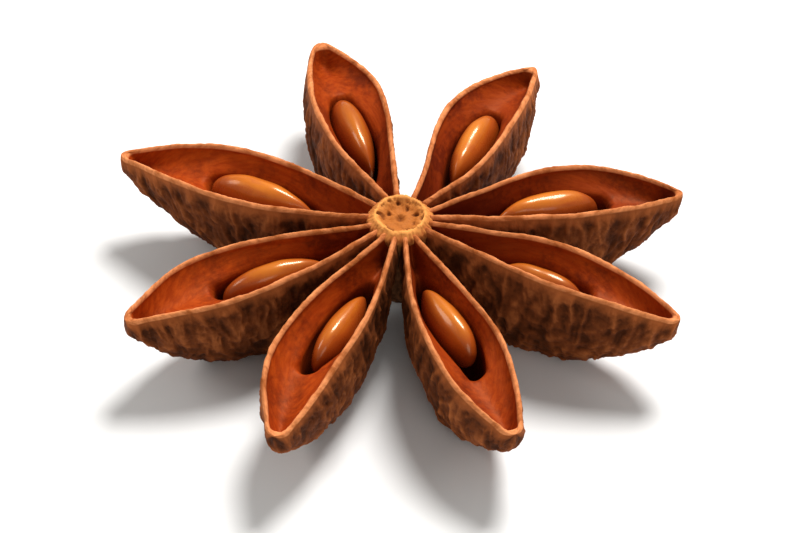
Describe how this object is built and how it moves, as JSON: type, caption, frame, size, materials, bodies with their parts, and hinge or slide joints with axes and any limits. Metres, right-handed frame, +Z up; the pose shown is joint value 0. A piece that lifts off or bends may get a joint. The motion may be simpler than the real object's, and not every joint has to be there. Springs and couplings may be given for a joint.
{
  "type": "star anise pod",
  "caption": "Dried star anise pod: boat-shaped woody carpels radiating from a short column, each split open along its upper edge round a glossy seed.",
  "frame": {"origin": "centre of the bounding box's base; the pod's column stands within 0.4 mm of it", "axes": "+Z up along the column, out of the side where the carpels are split open; +X to the right and +Y away from the viewer of the view the pod was modelled for; the carpels radiate in the XY plane"},
  "size_m": [0.0328, 0.0325, 0.0072],
  "materials": {
    "husk": "dry wrinkled brown skin outside, smooth satin orange brown lining inside, pale split lips",
    "seed": "glossy amber brown seed coat"
  },
  "bodies": {
    "root": {"husk": "husk", "seed_1": "seed", "seed_2": "seed", "seed_3": "seed", "seed_4": "seed", "seed_5": "seed", "seed_6": "seed", "seed_7": "seed", "seed_8": "seed"}
  },
  "joints": []
}
